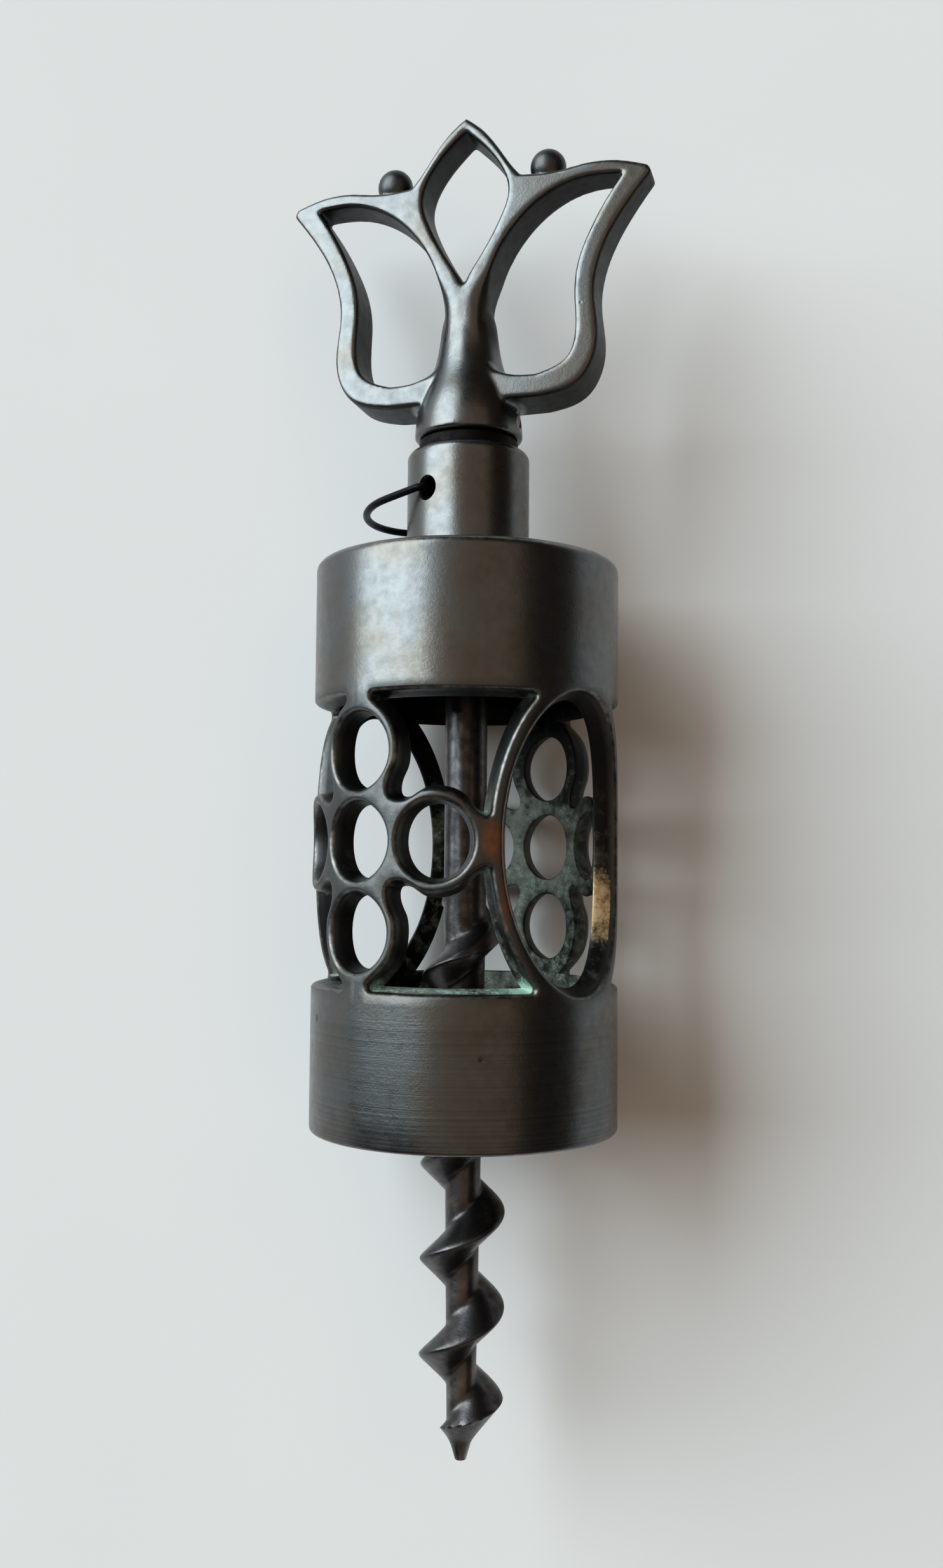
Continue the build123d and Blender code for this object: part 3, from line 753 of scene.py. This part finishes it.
tulip = {
    "height": 39.4, "halfSpan": 22.5, "turn": 16.0, "baseY": 40.05,
    "rootThick": 7.8, "tipThick": 4.8, "edgeRound": 0.45, "stemRound": 2.0,
    "thinPast": 1.0,  # the tip's thickness would be reached this far above it
    "stemReach": ((5.5, 3.2), (5.0, 8.0), (20.5, 16.0)),  # the stem's round fades sideways, below, above
    "crown": 0.3,  # share of its thickness that the plate loses at the tips of the lobes
    "hubRadius": 6.5, "hubHeight": 18.0, "hubEdge": 0.4, "hubTop": 0.98, "hubColumns": 96, "hubSteps": 40,
    "stamen": 2.2, "stamenColumns": 48,
    "pinRadius": 0.83, "pinHeight": 2.2, "pinOverrun": 2.0, "pinColumns": 32,
    "voxel": 0.25, "smoothing": 3, "softness": 0.5, "outlineStep": 0.35,
    "plainHub": ((13.0, 9.0), (7.2, 6.6)),  # the hub is plain up to this height and radius
    "plainStamen": (2.6, 2.2),  # and the stamens within this distance
    "dullStamen": ((2.4, 2.2), (2.0, 0.5), 0.5),  # distance, how far below the middle, strength
    "castWalls": (0.75, 0.35, 0.9),  # how square to the face a wall stands, and the strength of its cast skin
    "wornEdges": ((0.55, 0.8), (0.97, 0.85), 0.6),  # the same for the rubbed edges, from both sides
}
# outlines as shares of half the span and of the height
lobeSide = [(0.413, 0.098), (0.622, 0.135), (0.722, 0.246), (0.706, 0.411), (0.782, 0.581), (1.0, 0.764)]
lobeTip = [(1.0, 0.764), (0.982, 0.784)]
lobeTop = [(0.982, 0.784), (0.84, 0.806), (0.667, 0.81), (0.5, 0.795), (0.304, 0.797)]
petalSide = [(0.304, 0.797), (0.267, 0.822), (0.187, 0.888), (0.08, 0.964), (0.0, 1.0)]
lobeHoleInner = [
    (0.851, 0.766), (0.64, 0.766), (0.467, 0.731), (0.324, 0.668), (0.218, 0.589),
    (0.147, 0.497), (0.118, 0.391), (0.13, 0.28), (0.204, 0.19), (0.4, 0.1675),
]
lobeHoleOuter = [
    (0.4, 0.1675), (0.562, 0.212), (0.607, 0.338), (0.6, 0.414),
    (0.62, 0.508), (0.676, 0.594), (0.762, 0.688), (0.851, 0.766),
]
heartHole = [(0.0, 0.957), (0.16, 0.863), (0.238, 0.746), (0.204, 0.678), (0.116, 0.579), (0.0, 0.475)]
stamenSpot = (0.433, 0.835)
# the hub's side, as shares of its radius and height; it sinks into the stem
hubSide = [
    (1.0, 0.05), (0.985, 0.11), (0.9, 0.25), (0.74, 0.4),
    (0.61, 0.55), (0.54, 0.7), (0.46, 0.85), (0.3, 0.96),
]


# runs of an outline to one closed loop: points, normals into the metal, and the round of the edge there
def tulipLoop(runs, side, isHole):
    lines = []
    for run in runs:
        spots = np.array(run) * (side * tulip["halfSpan"], tulip["height"])
        steps = max(int(np.linalg.norm(np.diff(spots, axis=0), axis=1).sum() / tulip["outlineStep"]), 2)
        lines.append(smoothCurve(spots, steps) if len(run) > 2 else np.linspace(*spots, steps + 1))
    loop = np.vstack([line[:-1] for line in lines])
    after = np.roll(loop, -1, axis=0)
    leftwards = (loop[:, 0] * after[:, 1] - after[:, 0] * loop[:, 1]).sum() > 0
    tangent = after - np.roll(loop, 1, axis=0)
    tangent /= np.linalg.norm(tangent, axis=1)[:, None]
    normal = np.stack([tangent[:, 1], -tangent[:, 0]], axis=1) * (1 if leftwards == isHole else -1)
    x, y = np.abs(loop[:, 0]), loop[:, 1]
    sideways, below, above = tulip["stemReach"]
    stem = ramp(x, *sideways) * ramp(y, *below) * ramp(y, *above)
    return loop, normal, tulip["edgeRound"] + (tulip["stemRound"] - tulip["edgeRound"]) * stem


# the left half of an outline, run on from the right half
def mirrorRuns(runs):
    return [[(-x, y) for x, y in run[::-1]] for run in runs[::-1]]


# the plate gets thinner towards the top
def halfThickness(y):
    thinOver = tulip["height"] + tulip["thinPast"]
    return (tulip["rootThick"] + (tulip["tipThick"] - tulip["rootThick"]) * y / thinOver) / 2


halfRuns = [lobeSide, lobeTip, lobeTop, petalSide]
rootRun = [(-lobeSide[0][0], lobeSide[0][1]), lobeSide[0]]
loops = [tulipLoop([*halfRuns, *mirrorRuns(halfRuns), rootRun], 1, False)]
loops += [tulipLoop([lobeHoleInner, lobeHoleOuter], side, True) for side in (1, -1)]
loops += [tulipLoop([heartHole, *mirrorRuns([heartHole])], 1, True)]
platePoints, plateFaces = [], []
insets = [loop + normal * edge[:, None] for loop, normal, edge in loops]
flat, faces = fillFlat(insets[0], insets[1:], [])
for side in (1, -1):
    start = len(platePoints)
    platePoints += [(x, y, side * halfThickness(y)) for x, y in flat]
    plateFaces += [tuple(int(k) + start for k in f) for f in faces]
quarterTurn = np.radians(np.linspace(0, 90, 6))
for loop, normal, edge in loops:
    starts = []
    for side, a in [(1, a) for a in quarterTurn] + [(-1, a) for a in quarterTurn[::-1]]:
        starts.append(len(platePoints))
        spots = loop + normal * (edge * (1 - sin(a)))[:, None]
        heights = side * (halfThickness(spots[:, 1]) - edge * (1 - cos(a)))
        platePoints += [(x, y, z) for (x, y), z in zip(spots, heights)]
    plateFaces += rowFaces(starts, len(loop))
tulipHandle = finishMesh(meshObject("tulipHandle", platePoints, plateFaces))

# hub with its pin hole, and the stamens, all cast in one with the plate
toFlat = Matrix.Translation((0, 0, -axisHeight * mm))
hubRadius, hubHeight, hubEdge = tulip["hubRadius"], tulip["hubHeight"], tulip["hubEdge"]
hubSection = [(0.0, 0.0), *roundCorner((hubRadius - hubEdge, hubEdge), hubEdge, -90, 0, 4)]
hubCurve = smoothCurve([(r * hubRadius, h * hubHeight) for r, h in hubSide], tulip["hubSteps"])
hubSection += [tuple(p) for p in hubCurve] + [(0.0, hubHeight * tulip["hubTop"])]
hub = turnedMesh("hub", hubSection, tulip["hubColumns"], False)
hub.data.transform(toFlat)
pinRadius, pinReach = tulip["pinRadius"], hubRadius + tulip["pinOverrun"]
pinSection = [(0, -pinReach), (pinRadius, -pinReach), (pinRadius, pinReach), (0, pinReach)]
pinDrill = turnedMesh("pinDrill", pinSection, tulip["pinColumns"], False)
alongHandle = Matrix.Rotation(radians(90), 4, "Z")
pinDrill.data.transform(Matrix.Translation((0, tulip["pinHeight"] * mm, 0)) @ alongHandle @ toFlat)
cutAway(finishMesh(hub), finishMesh(pinDrill))
castTogether = [hub]
stamenX, stamenY = stamenSpot[0] * tulip["halfSpan"], stamenSpot[1] * tulip["height"]
for side in (1, -1):
    ballSection = roundCorner((0, 0), tulip["stamen"], -90, 90, 24)
    ball = turnedMesh("stamen", ballSection, tulip["stamenColumns"], False)
    ball.data.transform(Matrix.Translation((side * stamenX * mm, stamenY * mm, 0)) @ toFlat)
    castTogether.append(finishMesh(ball))
joinMeshes(tulipHandle, castTogether)
remesh = tulipHandle.modifiers.new("cast", "REMESH")
remesh.mode, remesh.voxel_size, remesh.use_smooth_shade = "VOXEL", tulip["voxel"] * mm, True
soften = tulipHandle.modifiers.new("soften", "SMOOTH")
soften.factor, soften.iterations = tulip["softness"], tulip["smoothing"]
bakeModifiers(tulipHandle)
for vertex in tulipHandle.data.vertices:
    vertex.co.z *= 1 - tulip["crown"] * (vertex.co.x / (tulip["halfSpan"] * mm)) ** 2
finishMesh(tulipHandle, 60.0)

# faces are linished, the walls between them keep the dark cast skin
points, normals = readPoints(tulipHandle)
facing = np.abs(normals[:, 2])
fromAxis = np.hypot(points[:, 0], points[:, 2])
fromStamen = np.hypot(np.abs(points[:, 0]) - stamenX, points[:, 1] - stamenY)
hubUpTo, hubOutTo = tulip["plainHub"]
plain = np.maximum(
    ramp(points[:, 1], *hubUpTo) * ramp(fromAxis, *hubOutTo),
    ramp(fromStamen, *tulip["plainStamen"]),
)
dullReach, dullBelow, dullMost = tulip["dullStamen"]
dullHeights = [stamenY - drop for drop in dullBelow]
dullStamens = dullMost * ramp(fromStamen, *dullReach) * ramp(points[:, 1], *dullHeights)
wallStart, wallFull, wallMost = tulip["castWalls"]
walls = wallMost * ramp(facing, wallStart, wallFull) * (1 - plain)
setMark(tulipHandle, "inside", np.maximum(walls, dullStamens))
wornIn, wornOut, wornMost = tulip["wornEdges"]
setMark(tulipHandle, "wear", wornMost * ramp(facing, *wornIn) * ramp(facing, *wornOut) * (1 - plain))
turnUp = Matrix.Rotation(radians(-tulip["turn"]), 4, "Y")
tulipHandle.data.transform(Matrix.Translation((0, tulip["baseY"] * mm, axisHeight * mm)) @ turnUp)
dress(tulipHandle, castBronze)
print("handle cast:", len(tulipHandle.data.polygons), "faces")

# Worm and spindle: a turned shaft, with the flight raised along its helix by nodes

worm = {
    "radius": 4.95, "pitch": 10.9, "blunt": 0.4, "rootWidth": 5.5, "rootRadius": 2.0, "shaft": 2.5,
    "tipY": -79.45, "tipRadius": 0.65, "tipLength": 3.2, "coreTip": 1.6, "coreTopY": -13.75, "crestY": -32.25,
    "lowStart": 2.6, "lowSlope": 0.82, "fullY": -24.75, "highSlope": 0.345, "clear": 5.95, "topY": -9.4,
    "groove": 1.9, "grooveY": (32.25, 33.75), "hubY": 40.05, "tenon": 2.0, "tenonY": 48.05,
    "columns": 96, "across": 45, "fillet": 0.7, "crowding": 1.6, "rows": (5.0, 20.0),
    "crestFade": -14.0,  # how fast the rubbed crest fades down its flanks
}
shaft, grooveY, tipY, crestY = worm["shaft"], worm["grooveY"], worm["tipY"], worm["crestY"]
shaftSection = [(shaft, y) for y in (worm["topY"], *worm["rows"], grooveY[0])]
shaftSection += [(worm["groove"], y) for y in grooveY] + [(shaft, grooveY[1]), (shaft, worm["hubY"])]
shaftSection += [(worm["tenon"], worm["hubY"]), (worm["tenon"], worm["tenonY"]), (0.0, worm["tenonY"])]
wormSpindle = turnedMesh("wormSpindle", shaftSection, worm["columns"], False)
tipRing = turnedMesh("tipRing", [(worm["tipRadius"], tipY), (0.0, tipY)], worm["columns"], False)
joinMeshes(wormSpindle, [tipRing])

turnsBelow = int((crestY - tipY) / worm["pitch"]) + 2
turns = turnsBelow + int((worm["topY"] - crestY) / worm["pitch"]) + 2
halfRoot, blunt = worm["rootWidth"] / 2, worm["blunt"]
lengths = {  # the tree's lengths, in millimetres here
    "Radius": worm["radius"],
    "Pitch": worm["pitch"],
    "Blunt": blunt,
    "Core at tip": worm["coreTip"],
    "Shaft": shaft,
    "Tip": tipY,
    "Tip radius": worm["tipRadius"],
    "Low start": worm["lowStart"],
    "Full below": worm["fullY"],
    "Clear": worm["clear"],
    "Top": worm["topY"],
    "First crest": crestY - turnsBelow * worm["pitch"],
    "Fillet": worm["fillet"],
    "Axis height": axisHeight,
    "Weld": seamGap,
}
shares = {
    "Flank slope": (worm["radius"] - worm["rootRadius"]) / (sqrt(halfRoot ** 2 + blunt ** 2) - blunt),
    "Core slope": (shaft - worm["coreTip"]) / (worm["coreTopY"] - tipY - worm["tipLength"]),
    "Tip slope": (worm["coreTip"] - worm["tipRadius"]) / worm["tipLength"],
    "Low slope": worm["lowSlope"],
    "High slope": worm["highSlope"],
    "Crowding": worm["crowding"],
    "Crest fade": worm["crestFade"],
    "Turns": float(turns),
}
counts = {"Along": turns * worm["columns"] + 1, "Across": worm["across"]}
wormInputs = {**dict.fromkeys([*lengths, *shares], "Float"), **dict.fromkeys(counts, "Int")}
wormTree, given, wormEnds = newTree("raiseFlight", {**wormInputs, "Material": "Material"})
sheetSize = {"Size X": given["Turns"], "Size Y": 1.0}
sheetSize.update({"Vertices X": given["Along"], "Vertices Y": given["Across"]})
sheet = addNode(wormTree, "GeometryNodeMeshGrid", sheetSize).outputs["Mesh"]
place = addNode(wormTree, "GeometryNodeInputPosition").outputs[0]
sheetPlace = addNode(wormTree, "ShaderNodeSeparateXYZ", {"Vector": place}).outputs
sockets = {name: given[name] for name in wormInputs}
sockets.update(onward=sheetPlace["X"], row=sheetPlace["Y"])
for name, operation, *terms in (
    ("turn", "MULTIPLY_ADD", "Turns", 0.5, "onward"),
    ("rowSide", "SIGN", "row"),
    ("rowAway", "ABSOLUTE", "row"),
    ("rowShare", "MULTIPLY", "rowAway", 2.0),
    ("crowded", "POWER", "rowShare", "Crowding"),  # rows crowd towards the crest
    ("fromCrestShare", "MULTIPLY", "crowded", 0.5),
    ("fromCrest", "MULTIPLY", "fromCrestShare", "Pitch"),
    ("crestHeight", "MULTIPLY_ADD", "turn", "Pitch", "First crest"),
    ("freeY", "MULTIPLY_ADD", "fromCrest", "rowSide", "crestHeight"),
    ("overTip", "MAXIMUM", "freeY", "Tip"),
    ("y", "MINIMUM", "overTip", "Top"),
    ("aboveTip", "SUBTRACT", "y", "Tip"),
    ("cone", "MULTIPLY_ADD", "aboveTip", "Tip slope", "Tip radius"),
    ("taper", "MULTIPLY_ADD", "aboveTip", "Core slope", "Core at tip"),
    ("slender", "MINIMUM", "cone", "taper"),
    ("core", "MINIMUM", "slender", "Shaft"),
    ("crestSquare", "MULTIPLY", "fromCrest", "fromCrest"),
    ("bluntSquare", "MULTIPLY_ADD", "Blunt", "Blunt", "crestSquare"),
    ("bluntAway", "SQRT", "bluntSquare"),
    ("flankRun", "SUBTRACT", "bluntAway", "Blunt"),
    ("flankDrop", "MULTIPLY", "flankRun", "Flank slope"),
    ("flank", "SUBTRACT", "Radius", "flankDrop"),
    ("overStart", "SUBTRACT", "aboveTip", "Low start"),
    ("lowFade", "MULTIPLY_ADD", "overStart", "Low slope", "Core at tip"),
    ("underFull", "SUBTRACT", "Full below", "y"),
    ("highFade", "MULTIPLY_ADD", "underFull", "High slope", "Clear"),
    ("fade", "MINIMUM", "lowFade", "highFade"),
    ("flight", "MINIMUM", "flank", "fade"),
    ("reach", "SMOOTH_MAX", "flight", "core", "Fillet"),
    ("angle", "MULTIPLY", "turn", 2 * pi),
    ("sine", "SINE", "angle"),
    ("cosine", "COSINE", "angle"),
    ("x", "MULTIPLY", "reach", "sine"),
    ("z", "MULTIPLY_ADD", "reach", "cosine", "Axis height"),
    ("proud", "SUBTRACT", "reach", "Shaft"),
    ("proudShare", "DIVIDE", "proud", "Radius"),
    ("crestMark", "MULTIPLY_ADD", "fromCrestShare", "Crest fade", 1.0),
    ("wear", "MULTIPLY", "crestMark", "proudShare"),
):
    values = {k: sockets.get(term, term) for k, term in enumerate(terms)}
    sockets[name] = addNode(wormTree, "ShaderNodeMath", values, operation=operation).outputs[0]
flightPlace = addNode(wormTree, "ShaderNodeCombineXYZ", {k.upper(): sockets[k] for k in "xyz"}).outputs[0]
crestWear = {"Geometry": sheet, "Name": "wear", "Value": sockets["wear"]}
onPoints = {"data_type": "FLOAT", "domain": "POINT"}
marked = addNode(wormTree, "GeometryNodeStoreNamedAttribute", crestWear, **onPoints).outputs[0]
raised = {"Geometry": marked, "Position": flightPlace}
flight = addNode(wormTree, "GeometryNodeSetPosition", raised).outputs[0]
joined = addNode(wormTree, "GeometryNodeJoinGeometry", {"Geometry": [given["Geometry"], flight]}).outputs[0]
seams = {"Geometry": joined, "Distance": given["Weld"]}
welded = addNode(wormTree, "GeometryNodeMergeByDistance", seams).outputs[0]
endTree(wormTree, welded, given["Material"], wormEnds)
wormValues = {name: value * mm for name, value in lengths.items()}
runTree(wormSpindle, wormTree, {**wormValues, **shares, **counts, "Material": wormSteel})
finishMesh(wormSpindle, 45.0)
print("worm raised:", len(wormSpindle.data.polygons), "faces")

# Hang bail: wire carried along its path by nodes

bail = {
    "holeY": 33.0, "angle": -41.5, "droop": 6.0, "wire": 0.45, "halfWidth": 8.28, "reach": 14.0, "bend": 1.0,
    "end": 2.2, "sides": 20,
}
halfWidth, bend = bail["halfWidth"], bail["bend"]
path = [(bail["end"], 0.0), *roundCorner((halfWidth - bend, bend), bend, -90, 0, 8)]
path += roundCorner((0, bail["reach"] - halfWidth), halfWidth, 0, 90, 18)
path += [(-x, y) for x, y in path[::-1][1:]]
turn, droop = radians(bail["angle"]), radians(bail["droop"])
outward = Vector((sin(turn), 0, cos(turn)))
hanging = Vector((-cos(turn) * cos(droop), -sin(droop), sin(turn) * cos(droop)))
holes = Vector((0, bail["holeY"], axisHeight))
wireCurve = bpy.data.curves.new("hangBail", "CURVE")
wireCurve.dimensions = "3D"
wireLine = wireCurve.splines.new("POLY")
wireLine.points.add(len(path) - 1)
for point, (x, y) in zip(wireLine.points, path):
    point.co = (*((outward * x + hanging * y + holes) * mm), 1.0)
hangBail = bpy.data.objects.new("hangBail", wireCurve)
bpy.context.scene.collection.objects.link(hangBail)
wireInputs = {"Wire radius": "Float", "Sides": "Int", "Material": "Material"}
wireTree, given, wireEnds = newTree("drawWire", wireInputs)
ringSize = {"Resolution": given["Sides"], "Radius": given["Wire radius"]}
ring = addNode(wireTree, "GeometryNodeCurvePrimitiveCircle", ringSize).outputs["Curve"]
alongPath = {"Curve": given["Geometry"], "Profile Curve": ring, "Fill Caps": True}
drawn = addNode(wireTree, "GeometryNodeCurveToMesh", alongPath).outputs["Mesh"]
endTree(wireTree, drawn, given["Material"], wireEnds)
wireValues = {"Wire radius": bail["wire"] * mm, "Sides": bail["sides"], "Material": wireSteel}
hangBail = finishMesh(runTree(hangBail, wireTree, wireValues), 60.0)
print("bail drawn:", len(hangBail.data.polygons), "faces")

# every piece rides on its body and stands for its node; the pin keeps its own shape
for piece, body, node, slot in (
    (barrelCasting, "barrel", "barrel_frame", "patinated_casting"),
    (neckCollar, "barrel", "neck_collar", "patinated_bush"),
    (thrustWasher, "barrel", "thrust_washer", "dark_washer"),
    (tulipHandle, "spindle", "tulip_handle", "patinated_casting"),
    (wormSpindle, "spindle", "worm_spindle", "worm_steel"),
    (hangBail, "bail", "hang_bail", "black_wire"),
):
    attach(piece, body)
    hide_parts(node)
dress(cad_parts["handle_pin"], wormSteel)
print("pieces ride on their bodies")

# Stage: pale paper, a large soft window far off at the upper left, a dim warm ceiling and wall, a dark room

stage = {
    "paper": ("#e6e6e7", "#e2e2e3"), "paperSize": 2400.0, "paperCloud": 40.0, "paperRough": 0.9,
    "roomColour": "#ffe9d4", "roomLevel": 0.044,
    "cameraSpot": (1.79, -12.29, 187.4), "cameraTurn": (3.70, 0.38, 0.435), "lens": 32.72, "sensor": 36.0,
    "clip": (5.0, 20000.0),
}
lamps = {  # place, what it faces, size, power, colour
    "window": ((-9000, 7560, 5530), (0, 7560, -250), (11104, 14960), 3872.0, "#ecf9fd"),
    "ceiling": ((100, 100, 1500), (0, 0, 0), (2200, 2200), 6.3, "#ffe2c4"),
    "wall": ((400, -2600, 900), (0, 0, 0), (3600, 1600), 6.0, "#fff1e2"),
}
paperMaterial, tree, place = newMaterial("plainPaper")  # matt sheet, faintly cloudy
cloudScale = {"Vector": place, "Scale": 1 / (stage["paperCloud"] * mm), "Detail": 2.0}
cloud = addNode(tree, "ShaderNodeTexNoise", cloudScale).outputs["Fac"]
tones = {"Factor": cloud, 6: toLinear(stage["paper"][0]), 7: toLinear(stage["paper"][1])}
tone = addNode(tree, "ShaderNodeMix", tones, data_type="RGBA").outputs[2]
matt = addNode(tree, "ShaderNodeBsdfPrincipled", {"Base Color": tone, "Roughness": stage["paperRough"]})
addNode(tree, "ShaderNodeOutputMaterial", {"Surface": matt.outputs[0]})
edge = stage["paperSize"] / 2
corners = [(-edge, -edge, 0), (edge, -edge, 0), (edge, edge, 0), (-edge, edge, 0)]
paper = meshObject("paper", corners, [(0, 1, 2, 3)])
dress(paper, paperMaterial)

for name, (spot, target, size, power, colour) in lamps.items():
    lamp = bpy.data.lights.new(name, "AREA")
    lamp.shape, lamp.size, lamp.size_y = "RECTANGLE", size[0] * mm, size[1] * mm
    lamp.energy, lamp.color = power, toLinear(colour)[:3]
    held = bpy.data.objects.new(name, lamp)
    away = (Vector(spot) - Vector(target)).normalized()
    side = Vector((0, 1, 0)).cross(away).normalized()
    held.matrix_world = Matrix((side, away.cross(side), away)).transposed().to_4x4()
    held.location = Vector(spot) * mm
    bpy.context.scene.collection.objects.link(held)

room = bpy.data.worlds.new("room")
room.use_nodes = True
room.node_tree.nodes.clear()
dim = {"Color": toLinear(stage["roomColour"]), "Strength": stage["roomLevel"]}
glow = addNode(room.node_tree, "ShaderNodeBackground", dim)
addNode(room.node_tree, "ShaderNodeOutputWorld", {"Surface": glow.outputs[0]})
bpy.context.scene.world = room

lens = bpy.data.cameras.new("camera")
lens.lens, lens.sensor_width = stage["lens"], stage["sensor"]
lens.clip_start, lens.clip_end = (distance * mm for distance in stage["clip"])
camera = bpy.data.objects.new("camera", lens)
camera.location = Vector(stage["cameraSpot"]) * mm
camera.rotation_mode = "ZYX"
camera.rotation_euler = [radians(a) for a in stage["cameraTurn"]]
bpy.context.scene.collection.objects.link(camera)
bpy.context.scene.camera = camera
bpy.context.scene.view_settings.view_transform = "Standard"
print("stage set")
